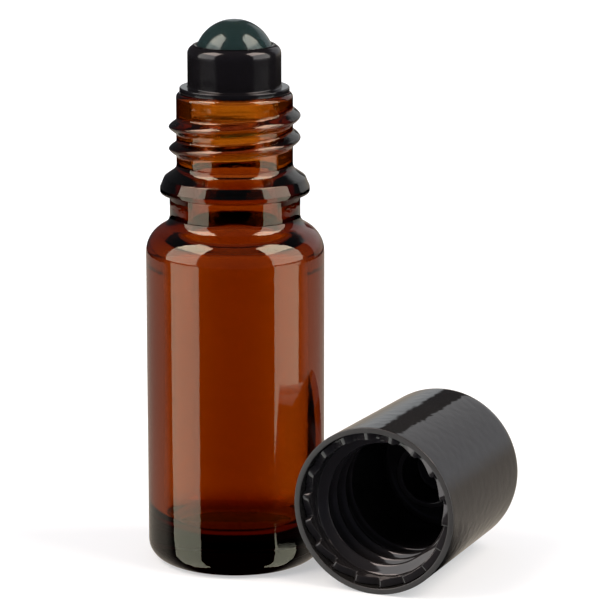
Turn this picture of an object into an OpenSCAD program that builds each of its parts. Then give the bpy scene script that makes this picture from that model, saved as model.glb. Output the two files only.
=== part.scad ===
// Small amber glass roll-on bottle with its screw cap taken off and laid beside it.
// All sizes are in millimetres. The bottle stands on z = 0 with its axis on z.
// The cap lies on its side to the right of the bottle and a little in front of it.

/* [Glass body] */
// Outer diameter of the body
body_d = 24.4; // [24:0.1:34]
// Height at which the body's straight wall ends
body_h = 43.2; // [20:0.1:90]
// Thickness of the body's wall
body_wall = 2.8; // [0.8:0.1:3.2]
// Rounding of the heel
heel_r = 2.6; // [1:0.1:3]
// Height of the hollow's floor above the table
floor_h = 5.2; // [2.4:0.1:7]
// Depth of the hollow under the base
punt_h = 0.9; // [0.4:0.1:1.4]
// Width of the ring that the bottle stands on
foot_w = 1.4; // [0.6:0.1:3]
// Rounding where the body turns into the shoulder
shoulder_r = 4; // [3:0.1:4.5]
// Steepness of the shoulder, from the vertical
shoulder_slope = 62; // [50:1:64]
// Rounding where the shoulder turns up into the neck
fillet_r = 1.6; // [0.8:0.1:2]

/* [Glass neck] */
// Outer diameter of the plain neck under the bead
throat_d = 17.8; // [17:0.1:18.4]
// Height of the bead's widest point above the body's straight wall
bead_rise = 9.1; // [8.2:0.1:10]
// How far the bead stands out past the screw thread
bead_out = 1.25; // [0.8:0.05:1.6]
// Height of the bead's rounded edge
bead_w = 1.7; // [1:0.1:2.2]
// Height of the slope above and below the bead
bead_slope_h = 1.2; // [0.8:0.1:1.4]
// Thickness of the neck's wall, from its bore to the foot of the thread
neck_wall = 2.02; // [1.6:0.02:2.4]
// Height of the rim above the body's straight wall
rim_rise = 21.9; // [20.6:0.1:26]
// Rounding of the rim's outer edge
rim_r = 0.6; // [0.2:0.1:1]

/* [Screw thread] */
// Rise of the thread in one turn
thread_pitch = 3; // [2.6:0.1:3.4]
// Diameter over the thread on the neck
thread_d = 17.9; // [15:0.1:21]
// Height of the neck's thread
thread_h = 1.03; // [0.8:0.01:1.2]
// Width of the neck thread at its foot
thread_w = 1.9; // [1.4:0.1:2.2]
// How far below the rim the neck thread's lower turn passes the right-hand side
thread_drop = 6.15; // [5.6:0.05:6.4]
// Gap between the neck and the crest of the cap's thread
thread_gap = 0.3; // [0.1:0.05:0.5]
// Gap between the neck thread's crest and the foot of the cap's thread
thread_relief = 0.65; // [0.1:0.05:0.7]
// Width of the cap's thread at its foot
cap_thread_w = 1.4; // [0.8:0.1:1.6]

/* [Neck plug] */
// Length of the plug in the neck
plug_h = 7.8; // [5:0.1:10]
// Thickness of the plug's wall
plug_wall = 1.1; // [0.8:0.1:1.5]
// How far the sealing beads press into the glass
seal_grip = 0.04; // [0.01:0.01:0.08]
// Radius of each sealing bead
seal_r = 0.4; // [0.3:0.05:0.6]
// Thickness of the ring on top of the plug that centres the housing
ring_t = 0.6; // [0.4:0.05:0.7]
// Height of that ring
ring_h = 0.5; // [0.3:0.05:0.6]
// Gap round that ring
ring_gap = 0.03; // [0.01:0.01:0.05]

/* [Roller housing] */
// How far the flange on the rim stays inside the neck's outside
flange_inset = 0.47; // [0.1:0.01:1]
// Thickness of the flange
flange_t = 0.8; // [0.5:0.1:1.4]
// Thickness of the collar's wall beside the middle of the ball
collar_wall = 0.86; // [0.7:0.02:1.2]
// Height of the collar's lip above the middle of the ball
lip_rise = 2; // [1.6:0.1:2.8]
// Rounding of the collar's upper edge
collar_r = 1.2; // [0.6:0.05:1.25]
// Diameter of the passage under the ball
passage_d = 7.2; // [5:0.1:8]

/* [Roller ball] */
// Diameter of the ball
ball_d = 10.84; // [9:0.02:12]
// Gap round the ball in its socket
ball_gap = 0.07; // [0.04:0.01:0.1]
// How far the ball's lowest point dips below the rim
ball_dip = 0.92; // [0.5:0.02:1.3]

/* [Cap] */
// How much the cap's radius narrows towards its closed end
cap_taper = 0.35; // [0:0.05:0.8]
// Rounding of the cap's closed end
cap_round_r = 3.2; // [1.2:0.1:4]
// Thickness of the outer shell's wall
cap_wall = 0.8; // [0.6:0.05:1]
// Thickness of the outer shell's closed end
cap_top_t = 1.4; // [1:0.1:2]
// Rounding of the shell's lip
lip_r = 0.35; // [0.1:0.05:0.38]

/* [Cap liner] */
// Gap between the liner and the shell
liner_gap = 0.08; // [0.04:0.01:0.1]
// Thickness of the liner's wall behind its thread
liner_wall = 1.02; // [0.8:0.02:1.6]
// Thickness of the liner's wall beyond its thread
liner_end_wall = 1.77; // [1:0.01:2.4]
// Depth of the liner's foot inside the mouth
liner_foot = 1.7; // [1.2:0.1:2.4]
// Plain stretch between the liner's foot and its thread
thread_lead = 1.2; // [0.8:0.1:2]
// How far the threaded part reaches past the bottle's rim
thread_past = 1.5; // [1.1:0.1:2.7]
// Thickness of the liner's ceiling
liner_top_t = 1.2; // [0.8:0.1:2]
// Diameter of the ring that presses on the ball
seat_d = 7.6; // [6:0.1:8.6]
// Thickness of the ring that presses on the ball
seat_t = 0.9; // [0.6:0.1:1.2]
// Length of the ring that presses on the ball
seat_h = 5.9; // [4:0.1:8]
// Number of ratchet teeth on the liner's foot
tooth_n = 18; // [12:1:24]
// Height of each ratchet tooth
tooth_h = 1; // [0.4:0.1:1.2]

/* [Where the cap lies] */
// Turn of the cap, so that its mouth looks left of the front
cap_yaw = 24; // [15:1:45]
// Gap between the cap and the bottle's body
cap_gap = 0.5; // [0.3:0.1:6]
// How far the mouth lies in front of the place nearest the bottle
cap_forward = 9; // [0:0.5:14]
// Turn of the cap about its own axis
cap_roll = 8; // [0:1:40]

/* [Hidden] */

// Smoothness of round outlines and of the screw threads
round_fn = 96;
turn_steps = 48;
// Overrun of every cut and overlap of every joined shape
over = 0.5;
sink = 0.3;
// Outline of a thread, as shares of half its foot and of its height
ridge_shares = [[-1, 0], [-0.7, 0.5], [-0.36, 0.9], [0, 1], [0.36, 0.9], [0.7, 0.5], [1, 0]];
// Height of a thread's thin end, as a share of its full height
ridge_end_share = 0.1;
// Turns in degrees: where the neck thread starts and ends, and how long it takes to rise
thread_from = -240;
thread_to = 410;
thread_rise = 45;
// Number of sealing beads round the plug
seal_n = 3;
// Share of a ratchet tooth's pitch that the tooth fills
tooth_share = 0.82;
// Share of the shoulder's width that its two roundings may take up
shoulder_share = 0.94;

bead_z = body_h + bead_rise;
rim_z = body_h + rim_rise;
thread_z = rim_z - thread_drop;
body_r = body_d / 2;
throat_r = throat_d / 2;
thread_r = thread_d / 2;
bead_r = thread_r + bead_out;
neck_r = thread_r - thread_h;
bore_r = neck_r - neck_wall;
ball_r = ball_d / 2;
ball_z = rim_z + ball_r - ball_dip;
socket_r = ball_r + ball_gap;
collar_out_r = socket_r + collar_wall;
flange_r = neck_r - flange_inset;
punt_w = body_r - heel_r - foot_w;
punt_r = (punt_w * punt_w + punt_h * punt_h) / (2 * punt_h);
plug_r = bore_r - seal_r / 2;
plug_bore_r = plug_r - plug_wall;

// The cap's seat on the bottle, from which the depths inside the cap follow
cap_seat_z = bead_z + bead_slope_h + sink;
seat_r = seat_d / 2;
rim_depth = rim_z - cap_seat_z;
ball_top_depth = ball_z + sqrt(ball_r * ball_r - seat_r * seat_r) - cap_seat_z;
liner_ceiling = ball_top_depth + seat_h;
liner_top = liner_ceiling + liner_top_t;
cap_h = liner_top + cap_top_t;
cap_root_r = thread_r + thread_relief;
cap_crest_r = neck_r + thread_gap;
cap_thread_foot = liner_foot + thread_lead;
liner_thread_end = rim_depth + thread_past;
cap_thread_to = 360 * (liner_thread_end - cap_thread_foot - cap_thread_w) / thread_pitch;
liner_out_r = cap_root_r + liner_wall;
liner_out_end_r = liner_out_r - cap_taper;
cap_r = liner_out_r + liner_gap + cap_wall;
cap_end_r = cap_r - cap_taper;
cap_slope = atan(cap_taper / cap_h);
inner_round_r = cap_round_r - cap_wall;
cap_away = body_r + cap_r + cap_gap;

// Rounded outline of one half of a bottle, from z = 0 up to its shoulder and throat.
// On a narrow shoulder both of its roundings shrink alike, so that they still meet.
module bottle_half(r, foot_r, z_wall, shoulder, throat, fillet, z_top) {
    round_w = (shoulder + fillet) * (1 - cos(shoulder_slope));
    fit = min(1, shoulder_share * (r - throat) / round_w);
    round_r = shoulder * fit;
    turn_r = fillet * fit;
    centre = [r - round_r, z_wall];
    edge = [centre.x + round_r * cos(shoulder_slope), centre.y + round_r * sin(shoulder_slope)];
    meet_x = throat + turn_r - turn_r * cos(shoulder_slope);
    run = (edge.x - meet_x) / sin(shoulder_slope);
    meet = [meet_x, edge.y + run * cos(shoulder_slope)];
    turn = [throat + turn_r, meet.y + turn_r * sin(shoulder_slope)];
    square([r - foot_r, z_wall]);
    translate([0, foot_r]) square([r, z_wall - foot_r]);
    translate([r - foot_r, foot_r]) circle(r = foot_r, $fn = round_fn);
    translate(centre) intersection() {
        circle(r = round_r, $fn = round_fn);
        square(2 * round_r);
    }
    difference() {
        polygon([[0, z_wall - over], [centre.x, z_wall - over], centre, edge, meet, turn, [0, turn.y]]);
        translate(turn) circle(r = turn_r, $fn = round_fn);
    }
    translate([0, z_wall]) square([throat, z_top - z_wall]);
}

// Screw thread wound on a cylinder of radius r, standing out by tall; a negative tall points inwards.
module winding(r, tall, width, z_at_zero, from, to, rise) {
    steps = ceil((to - from) * turn_steps / 360);
    n = len(ridge_shares);
    way = sign(tall);
    angles = [for (i = [0:steps]) from + (to - from) * i / steps];
    points = [for (a = angles) let(
            grown = max(ridge_end_share, min(1, (a - from) / rise, (to - a) / rise)),
            high = (abs(tall) + sink) * grown,
            z = z_at_zero + thread_pitch * a / 360
        ) for (p = ridge_shares) let(
            out = r + way * (high * p.y - sink)
        ) [out * cos(a), out * sin(a), z + p.x * width / 2]];
    sides = [for (i = [0:steps - 1], j = [0:n - 1]) let(k = (j + 1) % n)
        [i * n + j, i * n + k, (i + 1) * n + k, (i + 1) * n + j]];
    first = [for (j = [n - 1:-1:0]) j];
    last = [for (j = [0:n - 1]) steps * n + j];
    faces = concat(sides, [first, last]);
    turned = way > 0 ? faces : [for (f = faces) [for (k = [len(f) - 1:-1:0]) f[k]]];
    polyhedron(points = points, faces = turned, convexity = 8);
}

// Neck with its bead, straight wall and rounded rim, as half an outline.
module neck_half() {
    bead_edge = bead_w / 2;
    square([neck_r, rim_z - rim_r]);
    square([neck_r - rim_r, rim_z]);
    translate([neck_r - rim_r, rim_z - rim_r]) circle(r = rim_r, $fn = round_fn);
    polygon([
        [0, bead_z - bead_edge - bead_slope_h],
        [throat_r, bead_z - bead_edge],
        [bead_r - bead_edge, bead_z - bead_edge],
        [bead_r - bead_edge, bead_z + bead_edge],
        [neck_r, bead_z + bead_edge + bead_slope_h],
        [0, bead_z + bead_edge + bead_slope_h]
    ]);
    translate([bead_r - bead_edge, bead_z]) circle(r = bead_edge, $fn = round_fn);
}

module glass_bottle() {
    color([0.48, 0.2, 0.03, 0.6]) difference() {
        union() {
            rotate_extrude($fn = round_fn) {
                bottle_half(body_r, heel_r, body_h, shoulder_r, throat_r, fillet_r, bead_z);
                neck_half();
            }
            winding(neck_r, thread_r - neck_r, thread_w, thread_z, thread_from, thread_to, thread_rise);
        }
        translate([0, 0, floor_h]) rotate_extrude($fn = round_fn) {
            bottle_half(body_r - body_wall, heel_r, body_h - floor_h, shoulder_r - body_wall, bore_r,
                fillet_r + over, rim_z);
        }
        translate([0, 0, punt_h - punt_r]) sphere(r = punt_r, $fn = round_fn);
    }
}

// Clear sleeve pressed into the neck, with sealing beads outside and a ring on top for the housing.
module neck_plug() {
    plug_z = rim_z - plug_h;
    seal_step = plug_h / (seal_n + 1);
    color([0.85, 0.87, 0.86, 0.5]) difference() {
        rotate_extrude($fn = round_fn) {
            polygon([
                [0, plug_z],
                [plug_r - seal_r, plug_z],
                [plug_r, plug_z + seal_r],
                [plug_r, rim_z],
                [plug_bore_r + ring_t, rim_z],
                [plug_bore_r + ring_t, rim_z + ring_h],
                [0, rim_z + ring_h]
            ]);
            for (i = [1:seal_n])
                translate([bore_r + seal_grip - seal_r, plug_z + i * seal_step]) circle(r = seal_r, $fn = round_fn);
        }
        translate([0, 0, plug_z - over]) cylinder(r = plug_bore_r, h = plug_h + ring_h + 2 * over, $fn = round_fn);
    }
}

module roller_housing() {
    collar_z = ball_z + lip_rise;
    collar_h = collar_z - rim_z;
    color([0.06, 0.06, 0.07]) difference() {
        rotate_extrude($fn = round_fn) {
            // Flange with a rounded edge
            translate([0, rim_z]) square([flange_r - flange_t / 2, flange_t]);
            translate([flange_r - flange_t / 2, rim_z + flange_t / 2]) circle(r = flange_t / 2, $fn = round_fn);
            // Collar
            translate([0, rim_z]) square([collar_out_r, collar_h - collar_r]);
            translate([0, rim_z]) square([collar_out_r - collar_r, collar_h]);
            translate([collar_out_r - collar_r, collar_z - collar_r]) circle(r = collar_r, $fn = round_fn);
        }
        // Socket of the ball, and the passage under it
        translate([0, 0, ball_z]) sphere(r = socket_r, $fn = round_fn);
        translate([0, 0, rim_z - over]) cylinder(r = passage_d / 2, h = ball_z - rim_z, $fn = round_fn);
        // Groove for the ring on top of the plug
        rotate_extrude($fn = round_fn)
            translate([plug_bore_r - ring_gap, rim_z - over]) square([ring_t + 2 * ring_gap, ring_h + ring_gap + over]);
    }
}

module roller_ball() {
    color([0.2, 0.25, 0.26]) translate([0, 0, ball_z]) sphere(r = ball_r, $fn = round_fn);
}

// Lays a cap, drawn with its mouth on z = 0, on its side on the table.
module laid_down() {
    x = cap_away * cos(cap_yaw) - cap_forward * sin(cap_yaw);
    y = -cap_away * sin(cap_yaw) - cap_forward * cos(cap_yaw);
    translate([x, y, 0])
        rotate([0, 0, -cap_yaw])
        rotate([-cap_slope, 0, 0])
        translate([0, 0, cap_r])
        rotate([-90, 0, 0])
        rotate([0, 0, cap_roll])
        children();
}

// Half an outline that tapers from one radius to another, with a rounded far corner.
module tapered_half(r0, r1, h, round_r) {
    lean = (r0 - r1) / h;
    polygon([[0, 0], [r0, 0], [r1 + lean * round_r, h - round_r], [r1 - round_r, h], [0, h]]);
    translate([r1 + lean * round_r - round_r, h - round_r]) circle(r = round_r, $fn = round_fn);
}

module cap_shell() {
    color([0.09, 0.09, 0.1]) laid_down() rotate_extrude($fn = round_fn) {
        difference() {
            union() {
                translate([0, lip_r]) tapered_half(cap_r, cap_end_r, cap_h - lip_r, cap_round_r);
                square([cap_r - lip_r, 2 * lip_r]);
                translate([cap_r - lip_r, lip_r]) circle(r = lip_r, $fn = round_fn);
            }
            tapered_half(cap_r - cap_wall, cap_end_r - cap_wall, liner_top, inner_round_r);
            translate([0, -over]) square([cap_r - cap_wall, 2 * over]);
        }
    }
}

// One wedge of the ratchet ring, rising along the turn and ending in an upright face.
module ratchet_tooth() {
    long = 2 * PI * liner_out_r / tooth_n * tooth_share;
    wide = liner_out_r - cap_root_r - liner_gap;
    translate([cap_root_r, 0, liner_foot])
        rotate([90, 0, 90])
        linear_extrude(height = wide)
        polygon([[-long / 2, sink], [long / 2, sink], [long / 2, -tooth_h], [long / 4, -tooth_h]]);
}

module cap_liner() {
    color([0.05, 0.05, 0.06]) laid_down() union() {
        rotate_extrude($fn = round_fn) difference() {
            intersection() {
                tapered_half(liner_out_r, liner_out_end_r, liner_top, inner_round_r);
                translate([0, liner_foot]) square([liner_out_r, liner_top]);
            }
            square([cap_root_r, liner_thread_end]);
            difference() {
                square([liner_out_end_r - liner_end_wall, liner_ceiling]);
                translate([seat_r, ball_top_depth]) square([seat_t, liner_top]);
            }
        }
        winding(cap_root_r, cap_crest_r - cap_root_r, cap_thread_w, cap_thread_foot, 0, cap_thread_to,
            thread_rise);
        for (i = [0:tooth_n - 1]) rotate([0, 0, i * 360 / tooth_n]) ratchet_tooth();
    }
}

glass_bottle();
neck_plug();
roller_housing();
roller_ball();
cap_shell();
cap_liner();
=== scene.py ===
"""Looks of a small amber roll on bottle with its cap off, built round the packed frame.

Every piece is modelled in metres in the frame of the packed part: the bottle stands on z = 0
with its axis on z, and the cap lies on its side to the right of it.
"""

import math

import bmesh
import bpy
import numpy as np
from bpy.props import FloatProperty, FloatVectorProperty, IntProperty, PointerProperty
from mathutils import Matrix, Vector, noise


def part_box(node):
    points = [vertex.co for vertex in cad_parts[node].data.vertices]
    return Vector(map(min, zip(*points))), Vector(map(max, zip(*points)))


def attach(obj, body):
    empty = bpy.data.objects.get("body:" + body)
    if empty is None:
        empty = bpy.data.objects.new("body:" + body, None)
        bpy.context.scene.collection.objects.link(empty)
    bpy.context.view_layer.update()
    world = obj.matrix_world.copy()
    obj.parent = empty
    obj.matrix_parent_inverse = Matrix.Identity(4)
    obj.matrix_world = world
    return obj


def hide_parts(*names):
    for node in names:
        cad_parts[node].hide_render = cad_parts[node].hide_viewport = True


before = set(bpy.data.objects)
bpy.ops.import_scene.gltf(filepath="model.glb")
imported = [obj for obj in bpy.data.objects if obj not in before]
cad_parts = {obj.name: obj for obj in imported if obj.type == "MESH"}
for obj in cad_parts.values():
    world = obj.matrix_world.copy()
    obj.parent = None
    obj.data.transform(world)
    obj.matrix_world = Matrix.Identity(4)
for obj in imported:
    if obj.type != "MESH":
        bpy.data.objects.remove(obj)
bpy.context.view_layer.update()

bl_info = {
    "name": "Roll on Bottle",
    "version": (1, 0, 0),
    "blender": (4, 5, 0),
    "location": "View3D > Sidebar > Roll on Bottle",
    "description": "Builds the looks of an amber roll on bottle, its roller and its screw cap",
    "category": "Object",
}

MM = 0.001

# What the packed frame says of each piece
BOTTLE_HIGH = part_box("glass_bottle")[1]
PLUG_LOW, PLUG_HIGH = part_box("neck_plug")
HOUSING_LOW, HOUSING_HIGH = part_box("roller_housing")
BALL_LOW, BALL_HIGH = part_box("roller_ball")
BALL_Z, BALL_R = (BALL_LOW.z + BALL_HIGH.z) / 2, (BALL_HIGH.z - BALL_LOW.z) / 2

# Fineness of the turned meshes: steps along an outline, and segments in a turn or a tooth
TURN_STEP = math.radians(7)
LONGEST_STEP, HOUSING_STEP, BALL_STEP, THREAD_STEP = 0.8 * MM, 0.4 * MM, 0.15 * MM, 0.12 * MM
SHORTEST_STEP, MERGE_GAP = 1e-6 * MM, 1e-5 * MM
BOTTLE_SEGMENTS, PLASTIC_SEGMENTS, TOOTH_SEGMENTS, FLOOR_SEGMENTS = 192, 144, 16, 96

# How near two places count as the same, and the gap left between pieces that touch
HAIR, SAME_WALL, TOUCH_GAP = 0.01 * MM, 0.02 * MM, 0.02 * MM

# Threads: where the neck's starts and ends, the turn over which a thread grows to its full
# height, the powers that shape the crests, how soft the foot is and how many half widths it has
NECK_START, NECK_END = math.radians(-240), math.radians(410)
THREAD_RISE = math.radians(45)
NECK_CREST, CAP_CREST = 1.6, 2.6
FOOT_SOFT, RIDGE_REACH = 0.12, 2

# Waves that moulding leaves: their size, the share of z that counts, and their seed
INNER_WAVES = (9 * MM, 0.45, 3.1)
OUTER_WAVES = (5 * MM, 0.5, 7.7)
SHELL_WAVES = (6 * MM, 0.4, 12.3)
SHELL_SWELL = 0.012 * MM

# The inner waves end INNER_END above the straight wall. The outer ones start at the base, and
# lose NECK_CALM of their height above the wall. Both fade out towards the axis.
INNER_END, INNER_FADE = 4 * MM, 6 * MM
OUTER_FADE, NECK_CALM, AXIS_FADE = 3 * MM, 0.8, 2 * MM

# THIN_SIDES of the uneven wall's difference is taken off at the sides, and the rest is added in
# front and behind, in a stretch that THICK_POWER narrows
THIN_SIDES, THICK_POWER = 0.45, 6

# Small roundings of the glass and the plastic pieces
EDGE = 0.1 * MM
GLASS_EDGE, BEAD_UNDER, INNER_SOFT = 0.3 * MM, 0.35 * MM, 1.9 * MM
PLUG_TIP, PLUG_TOP, SEAL_EDGE = 0.15 * MM, 0.05 * MM, 0.08 * MM
FLANGE_UNDER, FLANGE_OVER, COLLAR_FOOT = 0.2 * MM, 0.16 * MM, 0.12 * MM
LINER_STEP, LINER_BORE, CEILING_EDGE = 0.3 * MM, 0.4 * MM, 0.8 * MM
SEAT_ROOT, SEAT_TIP = 0.3 * MM, 0.25 * MM

# Small steps: from the bead up to its chamfer's top, from the frame's box in to the plug's wall,
# along the plug's tapered tip, from a sealing bead's middle to its foot and to its crest's end,
# and into the shell, for the skin that swells and for the face of its lip, which is duller and
# painted a paler black, as painted light on the rim
CHAMFER_RISE, PLUG_INSET, PLUG_LEAD = 0.4 * MM, 0.24 * MM, 0.4 * MM
SEAL_FOOT, SEAL_FLAT = 0.35 * MM, 0.1 * MM
SHELL_SKIN, LIP_DEPTH = 0.5 * MM, 0.05 * MM

# The housing's lip leans out by a share of its drop, and a ratchet tooth is a ramp for a share
LIP_LEAN, RAMP_SHARE = 0.6, 0.75

# Optics: refraction, the tints of gloss, and the neck's rings, in waves per metre and from a height
GLASS_IOR, PLASTIC_IOR = 1.52, 1.49
PLASTIC_GLOSS = (0.76, 0.79, 1, 1)
BALL_GLOSS = (0.6, 0.74, 0.9, 1)
RING_SCALE = (260, 260, 1900)
RINGS_FROM, RINGS_FADE = 53.4 * MM, 0.6 * MM

# The mirrored studio: the glossy depth beyond which a ray has been mirrored, the colours, and the
# soft borders, each with its middle and half its width on one axis of a ray's direction
MIRRORED = 0.5
WHITE, BLACK = (1, 1, 1), (0, 0, 0)
DIM_ROOM = (0.05, 0.05, 0.055)
BOARD_GAP = (0.04, 0.04, 0.045)
BOARD_SOFT = math.radians(0.8)
BEHIND = (0.36, 0.24)
HORIZON = (0.04, 0.12)
GROUND = (-0.13, 0.03)
BOARD_TOP = (0.55, 0.08)

# The floor: its colour, how softly its white comes in, and where its mirrored part starts and
# brightens behind the bottle
FLOOR_COLOUR = (0.45, 0.49, 0.59)
GLOW_SOFT = 0.75
REAR_LINE, REAR_EDGE, REAR_LIGHT = 10 * MM, 0.02, (0.15, 0.15)

# The camera: the width of its sensor in mm, and how near and how far it sees in m
SENSOR_WIDTH = 36
CAMERA_SEES = (0.02, 20)


def length(name, description, millimetres):
    """A size that a user may change, kept in metres."""
    return FloatProperty(
        name=name, description=description, default=millimetres * MM, unit="LENGTH", precision=5
    )


def angle(name, description, degrees):
    """An angle that a user may change."""
    return FloatProperty(name=name, description=description, default=math.radians(degrees), subtype="ANGLE")


def colour(name, description, default):
    """A colour that a user may change."""
    return FloatVectorProperty(
        name=name, description=description, default=default, subtype="COLOR", min=0, max=1
    )


def number(name, description, default, **limits):
    """A plain number that a user may change, within limits."""
    return FloatProperty(name=name, description=description, default=default, **limits)


class BottleSizes(bpy.types.PropertyGroup):
    """Sizes of the glass bottle. Its radius and height come from the frame."""

    body_h: length("Wall top", "Height where the body's straight wall ends", 43.2)
    wall: length("Wall", "Thickness of the body's wall", 2.8)
    heel: length("Heel", "Rounding of the heel", 2.6)
    floor: length("Floor", "Height of the hollow's floor", 5.2)
    punt: length("Punt", "Depth of the hollow under the base", 0.9)
    foot: length("Foot", "Width of the ring that the bottle stands on", 1.4)
    shoulder: length("Shoulder", "Rounding at the top of the wall", 4)
    slope: angle("Slope", "Steepness of the shoulder, from the vertical", 62)
    fillet: length("Fillet", "Rounding at the foot of the throat", 1.6)
    throat: length("Throat", "Radius of the plain neck under the bead", 8.9)
    bead_rise: length("Bead height", "Height of the bead above the straight wall", 9.1)
    bead: length("Bead", "Radius of the bead", 10.2)
    bead_w: length("Bead width", "Height of the bead's edge with its chamfer", 1.7)
    bead_upright: length("Bead upright", "Height of the upright part of the bead's edge", 0.75)
    bead_cut: length("Bead chamfer", "How far the bead's chamfer leans in", 0.56)
    bead_foot: length("Bead foot", "Rounding where the bead's slope meets the neck", 1.2)
    bead_edge: length("Bead rounding", "Rounding of the bead's edges", 0.25)
    bead_slope: length("Bead slope", "Height of the slope above the bead", 1.6)
    neck: length("Neck", "Radius of the neck at the foot of the thread", 7.92)
    bore: length("Bore", "Radius of the neck's bore", 5.9)
    rim: length("Rim", "Rounding of the rim", 0.6)
    wave: length("Wave", "Height of the waves in the outside", 0.014)
    inner_wave: length("Inner wave", "Height of the waves inside the body", 0.11)
    uneven: length("Uneven wall", "How much the wall in front and behind exceeds its sides", 0.95)


class ThreadSizes(bpy.types.PropertyGroup):
    """Sizes of the screw threads on the neck and in the cap."""

    pitch: length("Pitch", "Rise of the thread in one turn", 3)
    height: length("Height", "Height of the neck's thread", 1.03)
    width: length("Width", "Width of the neck's thread at its foot", 1.9)
    drop: length("Drop", "How far below the rim the thread's lower turn passes the right side", 6.15)
    cap_width: length("Cap thread width", "Width of the cap's thread at its foot", 1.4)
    cap_height: length("Cap thread height", "Height of the cap's thread", 1.38)


class RollerSizes(bpy.types.PropertyGroup):
    """Sizes of the plug, the housing and the ball."""

    flange_t: length("Flange", "Thickness of the flange on the rim", 0.8)
    collar: length("Collar", "Radius of the collar that holds the ball", 6.35)
    collar_edge: length("Collar rounding", "Rounding of the collar's upper edge", 1.2)
    lip_drop: length("Lip drop", "How far below the collar's top its lip meets the ball", 0.45)
    passage: length("Passage", "Radius of the passage under the ball", 3.6)
    ball_gap: length("Ball gap", "Gap round the ball in its socket", 0.07)
    plug_wall: length("Plug wall", "Thickness of the plug's wall", 1.1)
    seal: length("Sealing bead", "How far each sealing bead stands out", 0.18)
    seals: IntProperty(name="Sealing beads", description="Number of sealing beads", default=3, min=1, max=6)
    ring_h: length("Ring", "Height of the ring on top of the plug", 0.5)
    ring_t: length("Ring thickness", "Thickness of the ring on top of the plug", 0.6)


class CapSizes(bpy.types.PropertyGroup):
    """Sizes of the cap and the place where it lies."""

    radius: length("Radius", "Outer radius of the cap at its mouth", 11.5)
    taper: length("Taper", "Narrowing towards the closed end", 0.35)
    high: length("Length", "Length of the cap", 28.165)
    round: length("Rounding", "Rounding of the closed end", 3.2)
    wall: length("Wall", "Thickness of the outer shell's wall", 0.8)
    top: length("Top", "Thickness of the outer shell's closed end", 1.4)
    lip: length("Lip", "Rounding of the shell's lip", 0.12)
    lip_inset: length("Lip inset", "How far the lip's face stays inside the cap's full length", 0.08)
    gap: length("Liner gap", "Gap between the liner and the shell", 0.08)
    liner_wall: length("Liner wall", "Thickness of the liner's wall behind its thread", 1.02)
    liner_end_wall: length("Liner end wall", "Thickness of the liner's wall beyond its thread", 1.77)
    liner_top: length("Liner top", "Thickness of the liner's ceiling", 1.2)
    foot: length("Liner foot", "Depth of the liner's foot inside the mouth", 1.7)
    thread_lead: length("Thread lead", "Plain stretch between foot and thread", 1.2)
    thread_end: length("Thread end", "Depth at which the threaded part ends", 12.8)
    seat: length("Seat", "Inner radius of the seat, a ring that presses on the ball", 3.8)
    seat_t: length("Seat thickness", "Thickness of the seat", 0.9)
    seat_h: length("Seat height", "Length of the seat", 5.9)
    teeth: IntProperty(name="Teeth", description="Number of ratchet teeth", default=18, min=12, max=24)
    tooth_h: length("Tooth height", "Height of each ratchet tooth", 1)
    tooth_share: number("Tooth share", "Share of its pitch that a tooth fills", 0.82, min=0.5, max=0.95)
    yaw: angle("Yaw", "Turn of the lying cap's mouth to the left", 24)
    roll: angle("Roll", "Turn of the cap about its own axis", 8)
    away: length("Distance", "Gap between the cap and the bottle's body", 0.5)
    forward: length("Forward", "How far the mouth lies in front of the bottle's side", 9)


class Finishes(bpy.types.PropertyGroup):
    """Colours and strengths of the materials."""

    amber: colour("Amber", "What the amber glass lets through", (0.845, 0.67, 0.24))
    amber_density: number("Amber density", "How strongly a metre of the glass absorbs light", 2000, min=0)
    ball: colour("Ball", "Dark green of the ball's glass", (0.08, 0.18, 0.21))
    housing: colour("Housing", "Black of the roller housing", (0.0045, 0.0042, 0.0058))
    shell: colour("Shell", "Black of the cap's shell", (0.010, 0.010, 0.011))
    # The lip's black is paler than the shell's: painted light on the rim, added to its duller, rougher face
    lip: colour("Lip", "Duller black of the shell's lip", (0.030, 0.030, 0.033))
    liner: colour("Liner", "Black of the cap's liner", (0.015, 0.0143, 0.017))
    plug: colour("Plug", "Clear plastic of the plug", (0.96, 0.97, 0.96))
    plug_alpha: number("Plug cover", "How much the clear plug shows", 0.2, min=0, max=1)


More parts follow.
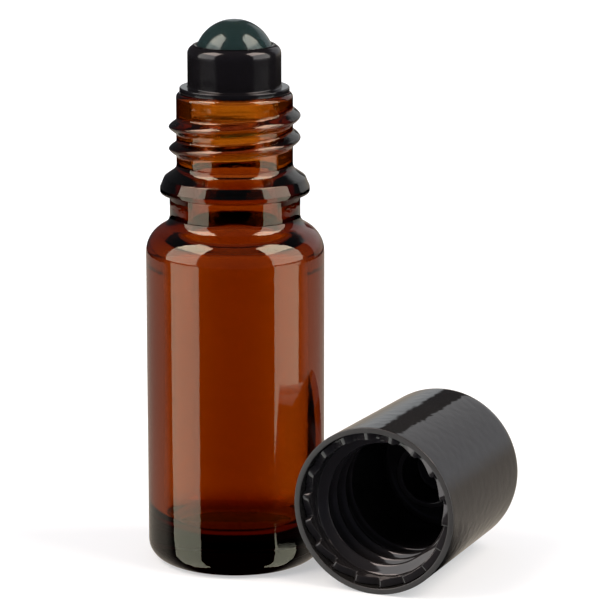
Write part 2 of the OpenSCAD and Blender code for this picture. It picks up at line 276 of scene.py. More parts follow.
class StageSettings(bpy.types.PropertyGroup):
    """Camera and light. A crown light stands in front of the upper part of each softbox.

    Mirrored rays see the backdrop as two boards with a dark gap between them, whose angles are
    taken to the right from straight behind the bottle.
    """

    distance: length("Distance", "Distance of the camera from the bottle's axis", 430)
    lens: number("Lens", "Focal length on a 36 mm sensor, in mm", 188.3, min=50, max=400)
    tilt: angle("Tilt", "How far the camera looks down", 13)
    aim_x: length("Aim sideways", "How far right of the axis the camera stands", 8.84)
    aim_z: length("Aim height", "Height that the camera looks at", 36.3)
    box_glow: number("Softbox strength", "Power of the softboxes, in watts per m2", 11, min=0)
    crown_glow: number("Crown strength", "Power of the crown lights, in watts per m2", 20, min=0)
    panel_glow: number("Panel strength", "Power of the low panels, in watts per m2", 7.6, min=0)
    box_away: length("Softbox distance", "Distance of each softbox from the bottle", 500)
    box_from: length("Softbox foot", "Height of each softbox's lower edge", 20)
    box_to: length("Softbox top", "Height of each softbox's upper edge", 1150)
    crown_away: length("Crown distance", "Distance of each crown light from the bottle", 480)
    crown_from: length("Crown foot", "Height of each crown light's lower edge", 420)
    panel_from: length("Panel foot", "Height of each low panel's lower edge", -430)
    panel_to: length("Panel top", "Height of each low panel's upper edge", 18)
    panel_away: length("Panel distance", "Distance of each low panel from the bottle", 250)
    box_w: length("Softbox width", "Width of each softbox", 456)
    box_turn: angle("Softbox turn", "Angle of each softbox from the camera, to its side", 73)
    left_panel_w: length("Left panel width", "Width of the left low panel", 198)
    left_panel_turn: angle("Left panel turn", "Angle of the left low panel from the camera", 67)
    right_panel_w: length("Right panel width", "Width of the right low panel", 180)
    right_panel_turn: angle("Right panel turn", "Angle of the right low panel from the camera", 71)
    box_tint: colour("Softbox colour", "Colour of the softboxes", (1, 0.93, 0.74))
    panel_tint: colour("Panel colour", "Colour of the low panels", (0.95, 0.94, 0.72))
    crown_tint: colour("Crown colour", "Colour of the crown lights", (1, 0.74, 0.52))
    floor_r: length("Floor", "Radius of the round floor", 600)
    glow_r: length("Floor white", "Distance at which the floor turns white", 200)
    near_glow: number("Near white", "White added to the floor near the bottle", 0.43, min=0)
    far_glow: number("Far white", "White added to the floor far from the bottle", 0.75, min=0)
    near_r: length("Lit floor", "Radius of the mirrored part of the floor", 252)
    near_floor: colour("Lit floor colour", "Mirrored floor behind the bottle", (0.42, 0.37, 0.31))
    left_board: colour("Left board", "Mirrored backdrop left of the gap", (0.60, 0.62, 0.63))
    right_board: colour("Right board", "Mirrored backdrop right of the gap", (0.60, 0.60, 0.60))
    boards_from: angle("Boards start", "Angle at which the left board starts", -7)
    boards_to: angle("Boards end", "Angle at which the right board ends", 57)
    gap_from: angle("Gap start", "Angle at which the dark gap starts", 3.5)
    gap_to: angle("Gap end", "Angle at which the dark gap ends", 14.5)
    low_share: number(
        "Low light", "Share of the white that the glass shows from below the horizon", 0.2, min=0, max=1
    )
    room: number("Room light", "Brightness of the light that fills the shadows", 0.45, min=0)


GROUPS = {
    "rollon_bottle": BottleSizes,
    "rollon_thread": ThreadSizes,
    "rollon_roller": RollerSizes,
    "rollon_cap": CapSizes,
    "rollon_finish": Finishes,
    "rollon_stage": StageSettings,
}


def rounded(corners, closed=False):
    """Outline through (radius, height, rounding) corners, with each rounding as an arc."""
    count = len(corners)
    points = []
    for i, (r, z, rounding) in enumerate(corners):
        here = Vector((r, z))
        if rounding == 0 or (not closed and i in (0, count - 1)):
            points.append(here)
            continue
        before = (Vector(corners[i - 1][:2]) - here).normalized()
        after = (Vector(corners[(i + 1) % count][:2]) - here).normalized()
        half = before.angle(after) / 2
        centre = here + (before + after).normalized() * rounding / math.sin(half)
        start = here + before * rounding / math.tan(half) - centre
        end = here + after * rounding / math.tan(half) - centre
        sweep = math.atan2(start.cross(end), start.dot(end))
        steps = max(2, math.ceil(abs(sweep) / TURN_STEP))
        points += [centre + Matrix.Rotation(sweep * k / steps, 2) @ start for k in range(steps + 1)]
    return points


def arc(radius, centre_z, start, end):
    """Arc about a point on the axis, between two angles above the horizontal."""
    steps = max(2, math.ceil(abs(end - start) / TURN_STEP * 2))
    angles = [start + (end - start) * k / steps for k in range(steps + 1)]
    return [Vector((radius * math.cos(a), centre_z + radius * math.sin(a))) for a in angles]


def fine(points, closed=False, step=LONGEST_STEP, zone=None):
    """The same outline with its long stretches divided, and divided finely where zone says so."""
    ends = points[1:] + points[:1] if closed else points[1:]
    out = []
    for a, b in zip(points, ends):
        long = (b - a).length
        if long < SHORTEST_STEP:
            continue
        limit = THREAD_STEP if zone and zone(a, b) else step
        parts = max(1, math.ceil(long / limit))
        out += [a.lerp(b, k / parts) for k in range(parts)]
    if not closed:
        out.append(points[-1])
    return out


def even_turn(segments):
    """Angles of one turn in equal steps."""
    return np.arange(segments) * 2 * math.pi / segments


def show(name, data):
    """New object in the scene."""
    thing = bpy.data.objects.new(name, data)
    bpy.context.scene.collection.objects.link(thing)
    return thing


def lathe(name, outline, angles, closed=False, shift=None, place=None):
    """Mesh object of an outline turned about z.

    shift(r, z, a) moves the grid of radii and heights, and place sets the mesh in the frame.
    """
    grid_a, grid_r = np.meshgrid(angles, [p.x for p in outline], indexing="ij")
    grid_z = np.tile([p.y for p in outline], (len(angles), 1))
    if shift:
        grid_r, grid_z = shift(grid_r, grid_z, grid_a)
    points = np.stack([grid_r * np.cos(grid_a), grid_r * np.sin(grid_a), grid_z], axis=-1).reshape(-1, 3)
    rows, cols = grid_r.shape
    last = cols if closed else cols - 1
    faces = []
    for i in range(rows):
        here, there = i * cols, (i + 1) % rows * cols
        for j in range(last):
            k = (j + 1) % cols
            faces.append((here + j, there + j, there + k, here + k))
    mesh = bpy.data.meshes.new(name)
    mesh.from_pydata(points.tolist(), [], faces)
    shape = bmesh.new()
    shape.from_mesh(mesh)
    bmesh.ops.remove_doubles(shape, verts=shape.verts, dist=MERGE_GAP)
    bmesh.ops.recalc_face_normals(shape, faces=shape.faces)
    shape.to_mesh(mesh)
    shape.free()
    if place:
        mesh.transform(place)
    mesh.shade_smooth()
    return show(name, mesh)


def ridge(share, power):
    """Height of a moulded thread over its width, from 1 in the middle to a soft foot at its sides."""
    lift = 1 - np.abs(share) ** power
    return 0.5 * (lift + np.sqrt(lift * lift + FOOT_SOFT * FOOT_SOFT))


def winding(angles, z, pitch, width, z_at_zero, start, end, power):
    """Share of its full height that a thread reaches at each angle and height."""
    tall = np.zeros_like(z)
    first = math.floor(start / (2 * math.pi)) - 1
    final = math.ceil(end / (2 * math.pi)) + 1
    for turn in range(first, final):
        a = angles + 2 * math.pi * turn
        grown = np.clip(np.minimum(a - start, end - a) / THREAD_RISE, 0, 1)
        grown = grown * grown * (3 - 2 * grown)
        off = (z - z_at_zero - pitch * a / (2 * math.pi)) / (width / 2)
        shape = ridge(np.clip(off, -RIDGE_REACH, RIDGE_REACH), power)
        tall = np.maximum(tall, grown * shape * (np.abs(off) < RIDGE_REACH))
    return tall


def waves(grid_r, grid_z, grid_a, size, share, seed):
    """Soft random waves over a turned surface, from about -1 to 1, stretched along z."""
    x = (grid_r * np.cos(grid_a) / size).ravel()
    y = (grid_r * np.sin(grid_a) / size).ravel()
    z = (grid_z * share / size).ravel()
    values = [noise.noise(Vector((a + seed, b, c))) for a, b, c in zip(x, y, z)]
    return np.array(values).reshape(grid_r.shape)


def wire(tree, node, sockets):
    """Sets a node's own sockets, by name or number, or links them where a value is a socket."""
    for key, value in sockets.items():
        if isinstance(value, bpy.types.NodeSocket):
            tree.links.new(value, node.inputs[key])
        else:
            node.inputs[key].default_value = value


def place_nodes(tree, kind):
    """A point of the surface or the sky, as one socket and as its x, y and z sockets."""
    where = tree.nodes.new("ShaderNodeTexCoord").outputs[kind]
    axes = tree.nodes.new("ShaderNodeSeparateXYZ")
    wire(tree, axes, {0: where})
    return where, *axes.outputs


def sum_node(tree, operation, *values):
    """Math node over sockets and numbers."""
    node = tree.nodes.new("ShaderNodeMath")
    node.operation = operation
    wire(tree, node, dict(enumerate(values)))
    return node.outputs[0]


def step_node(tree, value, middle, half):
    """Rises smoothly from 0 to 1 as a value passes the middle."""
    node = tree.nodes.new("ShaderNodeMapRange")
    node.interpolation_type = "SMOOTHSTEP"
    wire(tree, node, {"Value": value, "From Min": middle - half, "From Max": middle + half})
    return node.outputs["Result"]


def mix_node(tree, share, first, second):
    """Mixes two colours, each a socket or a plain colour."""
    node = tree.nodes.new("ShaderNodeMix")
    node.data_type = "RGBA"
    first, second = (
        colour if isinstance(colour, bpy.types.NodeSocket) else (*colour, 1) for colour in (first, second)
    )
    wire(tree, node, {"Factor": share, "A": first, "B": second})
    return node.outputs["Result"]


def mix_shader(tree, share, first, second):
    """Mixes two shaders."""
    mix = tree.nodes.new("ShaderNodeMixShader")
    wire(tree, mix, {"Fac": share, 1: first.outputs[0], 2: second.outputs[0]})
    return mix


def new_material(name):
    """Node material, with its node tree and its shader."""
    material = bpy.data.materials.new(name)
    material.use_nodes = True
    tree = material.node_tree
    return material, tree, tree.nodes["Principled BSDF"]


def noise_texture(tree, scale, detail=2.0, distortion=0.0):
    """Noise over the object's own coordinates. scale is in waves per metre."""
    where = tree.nodes.new("ShaderNodeTexCoord").outputs["Object"]
    texture = tree.nodes.new("ShaderNodeTexNoise")
    wire(tree, texture, {"Vector": where, "Scale": scale, "Detail": detail, "Distortion": distortion})
    return texture.outputs[0]


def spread(tree, value, low, high, start=0.3, end=0.7):
    """Maps a texture's value to a range."""
    reach = tree.nodes.new("ShaderNodeMapRange")
    wire(tree, reach, {"Value": value, "From Min": start, "From Max": end, "To Min": low, "To Max": high})
    return reach.outputs["Result"]


def bumps(tree, shader, *layers):
    """Chains bump layers of (texture value, depth in metres) into the shader's normal."""
    normal = None
    for height, depth in layers:
        bump = tree.nodes.new("ShaderNodeBump")
        wire(tree, bump, {"Strength": 1, "Distance": depth, "Height": height})
        if normal:
            wire(tree, bump, {"Normal": normal})
        normal = bump.outputs["Normal"]
    wire(tree, shader, {"Normal": normal})


def neck_rings(tree):
    """Fine uneven rings on the glass of the neck, as a mould's neck ring leaves them."""
    where, _, _, z = place_nodes(tree, "Object")
    stretch = tree.nodes.new("ShaderNodeMapping")
    wire(tree, stretch, {"Vector": where, "Scale": RING_SCALE})
    rings = tree.nodes.new("ShaderNodeTexNoise")
    wire(tree, rings, {"Vector": stretch.outputs["Vector"], "Scale": 1, "Detail": 2})
    return sum_node(tree, "MULTIPLY", rings.outputs[0], step_node(tree, z, RINGS_FROM, RINGS_FADE))


def mottled(tree, base, darker, paler, scale, detail):
    """Colour that varies by noise between two shades of a base colour."""
    shades = [[min(1, part * factor) for part in base] for factor in (darker, paler)]
    return mix_node(tree, noise_texture(tree, scale, detail), *shades)


def amber_glass(finish):
    """Amber glass: clear, with absorption, faint moulding waves and a little uneven gloss."""
    material, tree, shader = new_material("amber_glass")
    smear = noise_texture(tree, scale=180, detail=3)
    wire(tree, shader, {
        "Base Color": (*WHITE, 1),
        "Transmission Weight": 1,
        "IOR": GLASS_IOR,
        "Roughness": spread(tree, smear, low=0.0, high=0.02, start=0.45, end=0.75),
    })
    broad = noise_texture(tree, scale=260, detail=2, distortion=0.4)
    small = noise_texture(tree, scale=1400, detail=1)
    bumps(tree, shader, (broad, 0.010 * MM), (small, 0.004 * MM), (neck_rings(tree), 0.012 * MM))
    absorb = tree.nodes.new("ShaderNodeVolumeAbsorption")
    wire(tree, absorb, {"Color": (*finish.amber, 1), "Density": finish.amber_density})
    wire(tree, tree.nodes["Material Output"], {"Volume": absorb.outputs["Volume"]})
    return material


def clear_plastic(finish):
    """Clear moulded plastic of the plug, a little cloudy."""
    material, tree, shader = new_material("clear_plastic")
    cloud = noise_texture(tree, scale=500, detail=2)
    wire(tree, shader, {
        "Base Color": (*finish.plug, 1),
        "Transmission Weight": 1,
        "IOR": PLASTIC_IOR,
        "Alpha": finish.plug_alpha,
        "Roughness": spread(tree, cloud, low=0.02, high=0.07),
    })
    bumps(tree, shader, (noise_texture(tree, scale=700, detail=2), 0.003 * MM))
    return material


def ball_glass(finish):
    """Solid dark green glass of the ball, with a thin film that softens its gloss."""
    material, tree, shader = new_material("ball_glass")
    film = noise_texture(tree, scale=400, detail=3)
    wire(tree, shader, {
        "Base Color": mottled(tree, finish.ball, darker=1, paler=1.25, scale=120, detail=1),
        "Transmission Weight": 0.9,
        "IOR": GLASS_IOR,
        "Specular Tint": BALL_GLOSS,
        "Roughness": spread(tree, film, low=0.12, high=0.17),
    })
    bumps(tree, shader, (film, 0.0008 * MM))
    return material


def black_plastic(name, base, rough, peel, peel_scale, detail=2, gloss=0.5):
    """Moulded black plastic: a range of roughness, moulding waves of depth peel, and a fine grain."""
    material, tree, shader = new_material(name)
    smear = noise_texture(tree, scale=220, detail=4, distortion=0.6)
    wire(tree, shader, {
        "Base Color": mottled(tree, base, darker=0.8, paler=1.3, scale=150, detail=3),
        "IOR": PLASTIC_IOR,
        "Specular IOR Level": gloss,
        "Specular Tint": PLASTIC_GLOSS,
        "Roughness": spread(tree, smear, *rough),
    })
    waving = noise_texture(tree, scale=peel_scale, detail=detail, distortion=0.3)
    grain = noise_texture(tree, scale=9000, detail=2)
    bumps(tree, shader, (waving, peel), (grain, 0.0004 * MM))
    return material


def finish_piece(thing, materials, body, slot, *nodes):
    """Gives a piece its materials and its body, and lets it stand for its CAD nodes."""
    for material in materials:
        thing.data.materials.append(material)
    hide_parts(*nodes)
    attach(thing, body)


def shoulder_corners(radius, wall_top, rounding, throat, fillet, slope):
    """The two corners of a shoulder: where the wall meets the slope and where the slope meets the throat."""
    corner_z = wall_top + rounding * math.tan(slope / 2)
    throat_z = corner_z + (radius - throat) / math.tan(slope)
    return [(radius, corner_z, rounding), (throat, throat_z, fillet)]


def make_bottle(sizes, thread, finish):
    """The glass bottle as one closed surface, outside and inside, with its thread."""
    radius, rim_z = BOTTLE_HIGH.x, BOTTLE_HIGH.z
    bead_z = sizes.body_h + sizes.bead_rise
    bead_low, bead_top = bead_z - sizes.bead_w / 2, bead_z + sizes.bead_w / 2
    inner = radius - sizes.wall
    punt_w = radius - sizes.heel - sizes.foot
    punt_r = (punt_w ** 2 + sizes.punt ** 2) / (2 * sizes.punt)
    punt_angle = math.asin(punt_w / punt_r)
    thread_z = rim_z - thread.drop
    zone_low = thread_z + thread.pitch * NECK_START / (2 * math.pi) - thread.width
    zone_high = thread_z + thread.pitch * NECK_END / (2 * math.pi) + thread.width

    base = arc(punt_r, sizes.punt - punt_r, math.pi / 2, math.pi / 2 - punt_angle)
    outside = rounded([
        (punt_w, 0, 0),
        (radius, 0, sizes.heel),
        *shoulder_corners(radius, sizes.body_h, sizes.shoulder, sizes.throat, sizes.fillet, sizes.slope),
        (sizes.throat, bead_low, BEAD_UNDER),
        (sizes.bead, bead_low, sizes.bead_edge),
        (sizes.bead, bead_low + sizes.bead_upright, sizes.bead_edge),
        (sizes.bead - sizes.bead_cut, bead_top + CHAMFER_RISE, GLASS_EDGE),
        (sizes.neck, bead_top + sizes.bead_slope, sizes.bead_foot),
        (sizes.neck, rim_z, sizes.rim),
        (sizes.bore, rim_z, GLASS_EDGE),
        (sizes.bore, bead_z, 0),
    ])
    inner_corners = shoulder_corners(
        inner, sizes.body_h, sizes.shoulder - sizes.wall, sizes.bore, sizes.fillet + INNER_SOFT, sizes.slope
    )
    inside = rounded([
        (sizes.bore, bead_z, 0),
        *reversed(inner_corners),
        (inner, sizes.floor, sizes.heel),
        (0, sizes.floor, 0),
    ])
    outline = base[:-1] + outside[:-1] + inside

    def in_thread(a, b):
        outside_bore = min(a.x, b.x) > sizes.bore + 1 * MM
        in_zone = min(a.y, b.y) < zone_high and max(a.y, b.y) > zone_low
        return outside_bore and in_zone and a.y > bead_top + sizes.bead_slope

    def in_hollow(p):
        in_bore = p.x < sizes.bore + HAIR and p.y > sizes.floor
        in_body = p.x < inner + HAIR and sizes.floor - HAIR <= p.y < bead_z
        return in_bore or in_body

    points = fine(outline, zone=in_thread)
    hollow_points = np.array([in_hollow(p) for p in points])

    def shift(r, z, a):
        wound = winding(a, z, thread.pitch, thread.width, thread_z, NECK_START, NECK_END, NECK_CREST)
        on_neck = (np.abs(r - sizes.neck) < SAME_WALL) & (z > zone_low)
        r_new = r + np.where(on_neck, thread.height * wound, 0)
        body = np.clip((sizes.body_h + INNER_END - z) / INNER_FADE, 0, 1)
        above_wall = np.clip((z - sizes.body_h) / OUTER_FADE, 0, 1)
        outer = np.clip(z / OUTER_FADE, 0, 1) * (1 - NECK_CALM * above_wall)
        inner_wave = waves(r, z, a, *INNER_WAVES) * sizes.inner_wave * body
        inner_wave = inner_wave + sizes.uneven * body * (THIN_SIDES - np.sin(a) ** THICK_POWER)
        outer_wave = waves(r, z, a, *OUTER_WAVES) * sizes.wave * outer
        hollow = np.broadcast_to(hollow_points, r.shape)
        off_axis = np.clip(r / AXIS_FADE, 0, 1)
        wave = np.where(hollow, inner_wave, outer_wave - sizes.wave) * off_axis
        return np.minimum(r_new + wave, radius), z

    bottle = lathe("amber_bottle", points, even_turn(BOTTLE_SEGMENTS), shift=shift)
    finish_piece(bottle, [amber_glass(finish)], "bottle", "amber_glass", "glass_bottle")


def make_plug(sizes, finish):
    """Clear sleeve in the neck, with its sealing beads and the ring that centres the housing."""
    rim_z = BOTTLE_HIGH.z
    outer = PLUG_HIGH.x - PLUG_INSET
    bore = outer - sizes.plug_wall
    ring = bore + sizes.ring_t
    low, top = PLUG_LOW.z, rim_z + sizes.ring_h
    step = (rim_z - low) / (sizes.seals + 1)
    corners = [
        (bore, low, EDGE),
        (outer - PLUG_LEAD, low, PLUG_TIP),
        (outer, low + PLUG_LEAD, PLUG_TIP),
    ]
    for i in range(1, sizes.seals + 1):
        middle = low + i * step
        corners += [
            (outer, middle - SEAL_FOOT, EDGE),
            (outer + sizes.seal, middle - SEAL_FLAT, SEAL_EDGE),
            (outer + sizes.seal, middle + SEAL_FLAT, SEAL_EDGE),
            (outer, middle + SEAL_FOOT, EDGE),
        ]
    corners += [
        (outer, rim_z - TOUCH_GAP, PLUG_TOP),
        (ring, rim_z - TOUCH_GAP, PLUG_TOP),
        (ring, top, SEAL_EDGE),
        (bore, top, SEAL_EDGE),
    ]
    outline = fine(rounded(corners, closed=True), closed=True)
    plug = lathe("clear_plug", outline, even_turn(PLASTIC_SEGMENTS), closed=True)
    finish_piece(plug, [clear_plastic(finish)], "bottle", "plug_plastic", "neck_plug")


def make_housing(sizes, finish):
    """Black housing: flange on the rim, collar and the socket that holds the ball."""
    rim_z, top_z = HOUSING_LOW.z, HOUSING_HIGH.z
    flange = HOUSING_HIGH.x
    socket = BALL_R + sizes.ball_gap
    lip_angle = math.asin((top_z - sizes.lip_drop - BALL_Z) / socket)
    foot_angle = -math.acos(sizes.passage / socket)
    bowl = arc(socket, BALL_Z, lip_angle, foot_angle)
    lip = bowl[0]
    shell = rounded([
        (sizes.passage, bowl[-1].y, 0),
        (sizes.passage, rim_z + HAIR, EDGE),
        (flange, rim_z + HAIR, FLANGE_UNDER),
        (flange, rim_z + sizes.flange_t, FLANGE_OVER),
        (sizes.collar, rim_z + sizes.flange_t, COLLAR_FOOT),
        (sizes.collar, top_z, sizes.collar_edge),
        (lip.x + sizes.lip_drop * LIP_LEAN, top_z, EDGE),
        (lip.x, lip.y, 0),
    ])
    outline = fine(shell[:-1] + bowl[:-1], closed=True, step=HOUSING_STEP)
    housing = lathe("roller_collar", outline, even_turn(PLASTIC_SEGMENTS), closed=True)
    material = black_plastic(
        "housing_plastic", finish.housing, rough=(0.1, 0.15), peel=0.006 * MM, peel_scale=420, gloss=0.48
    )
    finish_piece(housing, [material], "bottle", "housing_plastic", "roller_housing")


def make_ball(finish):
    """The ball, turned from a half circle."""
    outline = arc(BALL_R, BALL_Z, -math.pi / 2, math.pi / 2)
    outline[0].x = outline[-1].x = 0
    ball = lathe("glass_ball", fine(outline, step=BALL_STEP), even_turn(PLASTIC_SEGMENTS))
    finish_piece(ball, [ball_glass(finish)], "ball", "ball_glass", "roller_ball")


def cap_place(sizes):
    """Lays the cap, drawn with its mouth on z = 0, on its side beside the bottle."""
    away = BOTTLE_HIGH.x + sizes.radius + sizes.away
    slope = math.atan(sizes.taper / sizes.high)
    where = Vector((
        away * math.cos(sizes.yaw) - sizes.forward * math.sin(sizes.yaw),
        -away * math.sin(sizes.yaw) - sizes.forward * math.cos(sizes.yaw),
        0,
    ))
    return (
        Matrix.Translation(where)
        @ Matrix.Rotation(-sizes.yaw, 4, "Z")
        @ Matrix.Rotation(-slope, 4, "X")
        @ Matrix.Translation((0, 0, sizes.radius))
        @ Matrix.Rotation(-math.pi / 2, 4, "X")
        @ Matrix.Rotation(sizes.roll, 4, "Z")
    )


def make_shell(sizes, finish):
    """Outer shell of the cap, a tapered cup with a round end and a thin lip."""
    inner_top = sizes.high - sizes.top
    end = sizes.radius - sizes.taper
    outline = rounded([
        (0, sizes.high, 0),
        (end, sizes.high, sizes.round),
        (sizes.radius, sizes.lip_inset, sizes.lip),
        (sizes.radius - sizes.wall, sizes.lip_inset, sizes.lip),
        (end - sizes.wall, inner_top, sizes.round - sizes.wall),
        (0, inner_top, 0),
    ])

    def shift(r, z, a):
        swell = waves(r, z, a, *SHELL_WAVES) * SHELL_SWELL
        swollen = np.minimum(r + swell - SHELL_SWELL, sizes.radius)
        return np.where(r > sizes.radius - SHELL_SKIN, swollen, r), z

    place = cap_place(sizes)
    shell = lathe("cap_outer", fine(outline), even_turn(PLASTIC_SEGMENTS), shift=shift, place=place)
    gloss = black_plastic(
        "cap_gloss", finish.shell, rough=(0.03, 0.06), peel=0.035 * MM, peel_scale=750, detail=0
    )
    # The lip is rougher, and its paler black is painted light on the rim
    dull_painted_light = black_plastic("cap_lip_painted_light", finish.lip, rough=(0.28, 0.38), peel=0.006 * MM, peel_scale=750)
    finish_piece(shell, [gloss, dull_painted_light], "cap", "cap_gloss", "cap_shell")
    # Faces at the mouth take the lip's material, with its painted light
    upright = place.inverted()
    for face in shell.data.polygons:
        if (upright @ face.center).z < sizes.lip_inset + LIP_DEPTH:
            face.material_index = 1


def tooth_height(share, fill):
    """Height share of a ratchet tooth along its pitch: a long ramp, a flat top and an upright end."""
    along = (share - 0.5) / fill + 0.5
    return np.where((along < 0) | (along > 1), 0.0, np.clip(along / RAMP_SHARE, 0, 1))


def make_liner(sizes, thread, finish):
    """Threaded insert of the cap, with its ratchet teeth, thread, seat ring and ceiling."""
    outer = sizes.radius - sizes.wall - sizes.gap
    end = outer - sizes.taper
    root = outer - sizes.liner_wall
    top = sizes.high - sizes.top - TOUCH_GAP
    ceiling = sizes.high - sizes.top - sizes.liner_top
    bore = end - sizes.liner_end_wall
    seat_from = ceiling - sizes.seat_h
    seat_out = sizes.seat + sizes.seat_t
    thread_foot = sizes.foot + sizes.thread_lead
    turns_end = 2 * math.pi * (sizes.thread_end - thread_foot - thread.cap_width) / thread.pitch
    outline = rounded([
        (0, top, 0),
        (end, top, sizes.round - sizes.wall),
        (outer, sizes.foot, EDGE),
        (root, sizes.foot, EDGE),
        (root, sizes.thread_end, LINER_STEP),
        (bore, sizes.thread_end, LINER_BORE),
        (bore, ceiling, CEILING_EDGE),
        (seat_out, ceiling, SEAT_ROOT),
        (seat_out, seat_from, SEAT_TIP),
        (sizes.seat, seat_from, SEAT_TIP),
        (sizes.seat, ceiling, SEAT_ROOT),
        (0, ceiling, 0),
    ])

    def in_thread(a, b):
        return abs(a.x - root) < SAME_WALL and abs(b.x - root) < SAME_WALL

    points = fine(outline, zone=in_thread)
    angles = even_turn(sizes.teeth * TOOTH_SEGMENTS)

    def shift(r, z, a):
        wound = winding(a, z, thread.pitch, thread.cap_width, thread_foot, 0, turns_end, CAP_CREST)
        on_wall = np.abs(r - root) < SAME_WALL
        r_new = r - np.where(on_wall & (z > sizes.foot + 3 * EDGE), thread.cap_height * wound, 0)
        share = (a * sizes.teeth / (2 * math.pi)) % 1
        tall = tooth_height(share, sizes.tooth_share) * sizes.tooth_h
        at_foot = (z < sizes.foot + 1.5 * EDGE) & (r > root - EDGE)
        return r_new, z - np.where(at_foot, tall, 0)

    liner = lathe("cap_insert", points, angles, shift=shift, place=cap_place(sizes))
    material = black_plastic(
        "liner_plastic", finish.liner, rough=(0.05, 0.1), peel=0.008 * MM, peel_scale=500
    )
    finish_piece(liner, [material], "cap", "liner_plastic", "cap_liner")


def white_share(tree, path, behind=None):
    """1 for rays that see white: camera rays, and rays out of glass that no surface has mirrored.

    With behind, mirrored rays out of glass count as well, by the share that it gives them.
    """
    straight = sum_node(tree, "LESS_THAN", path.outputs["Glossy Depth"], MIRRORED)
    if behind:
        straight = sum_node(tree, "MAXIMUM", straight, behind)
    through = sum_node(tree, "MULTIPLY", straight, path.outputs["Is Transmission Ray"])
    return sum_node(tree, "MAXIMUM", through, path.outputs["Is Camera Ray"])


def make_world(settings):
    """White backdrop, which mirrored rays see as two boards with a dark gap, in a dim room.

    Diffuse rays meet a soft even light. Rays that sample the world as a light have no kind, and
    see what mirrored rays see.
    """
    world = bpy.data.worlds.new("studio")
    bpy.context.scene.world = world
    world.use_nodes = True
    tree = world.node_tree
    path = tree.nodes.new("ShaderNodeLightPath")
    _, x, y, z = place_nodes(tree, "Generated")
    turn = sum_node(tree, "ARCTAN2", x, y)
    past_start = step_node(tree, turn, settings.gap_from, BOARD_SOFT)
    past_end = step_node(tree, turn, settings.gap_to, BOARD_SOFT)
    behind = step_node(tree, y, *BEHIND)
    boards = mix_node(tree, past_start, settings.left_board, BOARD_GAP)
    boards = mix_node(tree, past_end, boards, settings.right_board)
    horizon = step_node(tree, z, *HORIZON)
    boards = mix_node(tree, horizon, settings.near_floor, boards)
    above = step_node(tree, z, *GROUND)
    over = step_node(tree, z, *BOARD_TOP)
    left = step_node(tree, turn, settings.boards_from, 2 * BOARD_SOFT)
    right = step_node(tree, turn, settings.boards_to, 2 * BOARD_SOFT)
    width = sum_node(tree, "SUBTRACT", left, right)
    lit = sum_node(tree, "MULTIPLY", width, sum_node(tree, "SUBTRACT", 1, over))
    mirrored = mix_node(tree, lit, DIM_ROOM, boards)
    mirrored = mix_node(tree, above, BLACK, mirrored)
    soft_light = (settings.room,) * 3
    seen = mix_node(tree, path.outputs["Is Diffuse Ray"], mirrored, soft_light)
    clear_above = sum_node(tree, "MAXIMUM", above, settings.low_share)
    clear_behind = sum_node(tree, "MULTIPLY", behind, clear_above)
    seen = mix_node(tree, white_share(tree, path, clear_behind), seen, WHITE)
    wire(tree, tree.nodes["Background"], {"Color": seen})


def make_floor(settings):
    """Plain pale floor that takes the shadow. Mirrored rays see only its lit part behind the bottle."""
    mesh = bpy.data.meshes.new("floor")
    shape = bmesh.new()
    bmesh.ops.create_circle(shape, cap_ends=True, segments=FLOOR_SEGMENTS, radius=settings.floor_r)
    shape.to_mesh(mesh)
    shape.free()
    floor = show("floor", mesh)
    material, tree, shader = new_material("floor_white")
    tree.nodes.remove(shader)
    path = tree.nodes.new("ShaderNodeLightPath")
    backdrop = white_share(tree, path)
    diffuse = tree.nodes.new("ShaderNodeBsdfDiffuse")
    wire(tree, diffuse, {"Color": (*FLOOR_COLOUR, 1)})
    where, _, y, _ = place_nodes(tree, "Object")
    measure = tree.nodes.new("ShaderNodeVectorMath")
    measure.operation = "LENGTH"
    wire(tree, measure, {0: where})
    away = measure.outputs["Value"]
    far = step_node(tree, away, settings.glow_r, settings.glow_r * GLOW_SOFT)
    gain = settings.far_glow - settings.near_glow
    glow_here = sum_node(tree, "MULTIPLY_ADD", far, gain, settings.near_glow)
    glow = tree.nodes.new("ShaderNodeEmission")
    wire(tree, glow, {"Color": (*WHITE, 1), "Strength": sum_node(tree, "MULTIPLY", backdrop, glow_here)})
    lit = tree.nodes.new("ShaderNodeAddShader")
    wire(tree, lit, {0: diffuse.outputs[0], 1: glow.outputs[0]})
    clear = tree.nodes.new("ShaderNodeBsdfTransparent")
    past_front = sum_node(tree, "ADD", y, REAR_LINE)
    rear = sum_node(tree, "DIVIDE", past_front, away)
    near = sum_node(tree, "LESS_THAN", away, settings.near_r)
    rear_side = sum_node(tree, "GREATER_THAN", rear, REAR_EDGE)
    seen = sum_node(tree, "MULTIPLY", near, rear_side)
    shade = mix_node(tree, path.outputs["Is Transmission Ray"], settings.near_floor, WHITE)
    image = tree.nodes.new("ShaderNodeEmission")
    wire(tree, image, {"Color": shade, "Strength": step_node(tree, rear, *REAR_LIGHT)})
    mirrored = sum_node(tree, "GREATER_THAN", path.outputs["Glossy Depth"], MIRRORED)
    surface = mix_shader(tree, mirrored, lit, mix_shader(tree, seen, clear, image))
    wire(tree, tree.nodes["Material Output"], {"Surface": surface.outputs[0]})
    floor.data.materials.append(material)


def stand(name, data, place, aim):
    """Puts a light or a camera at a place, aimed along a direction."""
    thing = show(name, data)
    thing.location = place
    thing.rotation_mode = "QUATERNION"
    thing.rotation_quaternion = aim.to_track_quat("-Z", "Y")
    return thing


def make_softbox(name, tint, width, turn, away, low, high, glow):
    """One upright area light between two heights, which faces the bottle. turn is to the camera's right."""
    light = bpy.data.lights.new(name, "AREA")
    light.shape = "RECTANGLE"
    light.size, light.size_y = width, high - low
    light.energy = glow * width * (high - low)
    light.color = tint
    middle = (low + high) / 2
    place = Vector((away * math.sin(turn), -away * math.cos(turn), middle))
    stand(name, light, place, Vector((0, 0, middle)) - place)


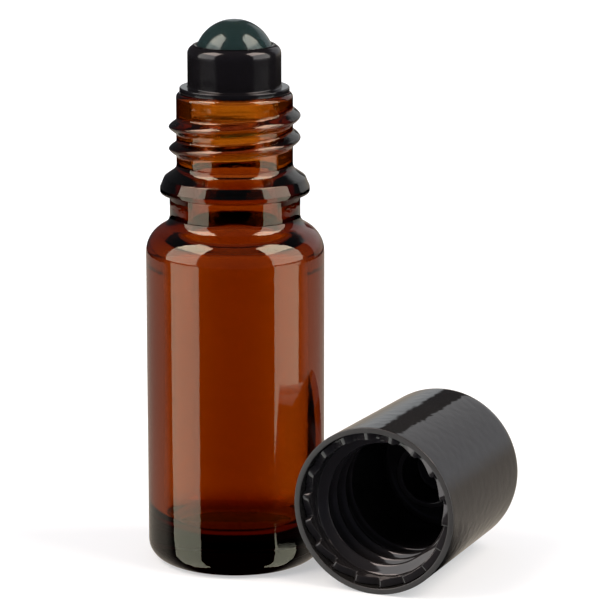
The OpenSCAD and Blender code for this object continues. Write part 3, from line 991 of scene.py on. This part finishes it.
def make_lights(settings):
    """The softboxes, their crown lights and the low panels."""
    box = (settings.box_away, settings.box_from, settings.box_to, settings.box_glow)
    crown = (settings.crown_away, settings.crown_from, settings.box_to, settings.crown_glow)
    panel = (settings.panel_away, settings.panel_from, settings.panel_to, settings.panel_glow)
    left, right = (settings.box_w, -settings.box_turn), (settings.box_w, settings.box_turn)
    low_left = (settings.left_panel_w, -settings.left_panel_turn)
    low_right = (settings.right_panel_w, settings.right_panel_turn)
    make_softbox("softbox_left", settings.box_tint, *left, *box)
    make_softbox("softbox_right", settings.box_tint, *right, *box)
    make_softbox("crown_left", settings.crown_tint, *left, *crown)
    make_softbox("crown_right", settings.crown_tint, *right, *crown)
    make_softbox("panel_left", settings.panel_tint, *low_left, *panel)
    make_softbox("panel_right", settings.panel_tint, *low_right, *panel)


def make_camera(settings):
    """Camera of the photograph: a long lens that looks down a little."""
    data = bpy.data.cameras.new("camera")
    data.sensor_width = SENSOR_WIDTH
    data.lens = settings.lens
    data.clip_start, data.clip_end = CAMERA_SEES
    back = Vector((0, -math.cos(settings.tilt), math.sin(settings.tilt)))
    place = Vector((settings.aim_x, 0, settings.aim_z)) + back * settings.distance
    bpy.context.scene.camera = stand("camera", data, place, -back)


class ROLLON_OT_bottle(bpy.types.Operator):
    """Build the amber glass bottle"""

    bl_idname = "rollon.bottle"
    bl_label = "Glass Bottle"

    def execute(self, context):
        scene = context.scene
        make_bottle(scene.rollon_bottle, scene.rollon_thread, scene.rollon_finish)
        return {"FINISHED"}


class ROLLON_OT_plug(bpy.types.Operator):
    """Build the clear plug in the neck"""

    bl_idname = "rollon.plug"
    bl_label = "Neck Plug"

    def execute(self, context):
        make_plug(context.scene.rollon_roller, context.scene.rollon_finish)
        return {"FINISHED"}


class ROLLON_OT_housing(bpy.types.Operator):
    """Build the black housing that holds the ball"""

    bl_idname = "rollon.housing"
    bl_label = "Roller Housing"

    def execute(self, context):
        make_housing(context.scene.rollon_roller, context.scene.rollon_finish)
        return {"FINISHED"}


class ROLLON_OT_ball(bpy.types.Operator):
    """Build the glass ball"""

    bl_idname = "rollon.ball"
    bl_label = "Roller Ball"

    def execute(self, context):
        make_ball(context.scene.rollon_finish)
        return {"FINISHED"}


class ROLLON_OT_cap_shell(bpy.types.Operator):
    """Build the outer shell of the cap"""

    bl_idname = "rollon.cap_shell"
    bl_label = "Cap Shell"

    def execute(self, context):
        make_shell(context.scene.rollon_cap, context.scene.rollon_finish)
        return {"FINISHED"}


class ROLLON_OT_cap_liner(bpy.types.Operator):
    """Build the threaded liner of the cap"""

    bl_idname = "rollon.cap_liner"
    bl_label = "Cap Liner"

    def execute(self, context):
        scene = context.scene
        make_liner(scene.rollon_cap, scene.rollon_thread, scene.rollon_finish)
        return {"FINISHED"}


class ROLLON_OT_stage(bpy.types.Operator):
    """Set up the floor, the light and the camera"""

    bl_idname = "rollon.stage"
    bl_label = "Stage"

    def execute(self, context):
        settings = context.scene.rollon_stage
        make_world(settings)
        make_floor(settings)
        make_lights(settings)
        make_camera(settings)
        context.scene.view_settings.view_transform = "Standard"
        return {"FINISHED"}


OPERATORS = (
    ROLLON_OT_bottle,
    ROLLON_OT_plug,
    ROLLON_OT_housing,
    ROLLON_OT_ball,
    ROLLON_OT_cap_shell,
    ROLLON_OT_cap_liner,
    ROLLON_OT_stage,
)


class ROLLON_PT_panel(bpy.types.Panel):
    """Sizes, colours and steps of the roll on bottle"""

    bl_idname = "ROLLON_PT_panel"
    bl_label = "Roll on Bottle"
    bl_space_type = "VIEW_3D"
    bl_region_type = "UI"
    bl_category = "Roll on Bottle"

    def draw(self, context):
        for name, group in GROUPS.items():
            box = self.layout.box()
            box.label(text=group.__doc__.split(".")[0])
            for field in group.__annotations__:
                box.prop(getattr(context.scene, name), field)
        for operator in OPERATORS:
            self.layout.operator(operator.bl_idname)


CLASSES = (*GROUPS.values(), *OPERATORS, ROLLON_PT_panel)


def register():
    """Registers the settings, the operators and the panel."""
    for cls in CLASSES:
        bpy.utils.register_class(cls)
    for name, group in GROUPS.items():
        setattr(bpy.types.Scene, name, PointerProperty(type=group))


def unregister():
    """Removes the settings, the operators and the panel."""
    for name in GROUPS:
        delattr(bpy.types.Scene, name)
    for cls in reversed(CLASSES):
        bpy.utils.unregister_class(cls)


def main():
    """Builds the bottle, its roller, its cap and the stage."""
    register()
    bpy.ops.rollon.bottle()
    bpy.ops.rollon.plug()
    bpy.ops.rollon.housing()
    bpy.ops.rollon.ball()
    bpy.ops.rollon.cap_shell()
    bpy.ops.rollon.cap_liner()
    bpy.ops.rollon.stage()


if __name__ == "__main__":
    main()
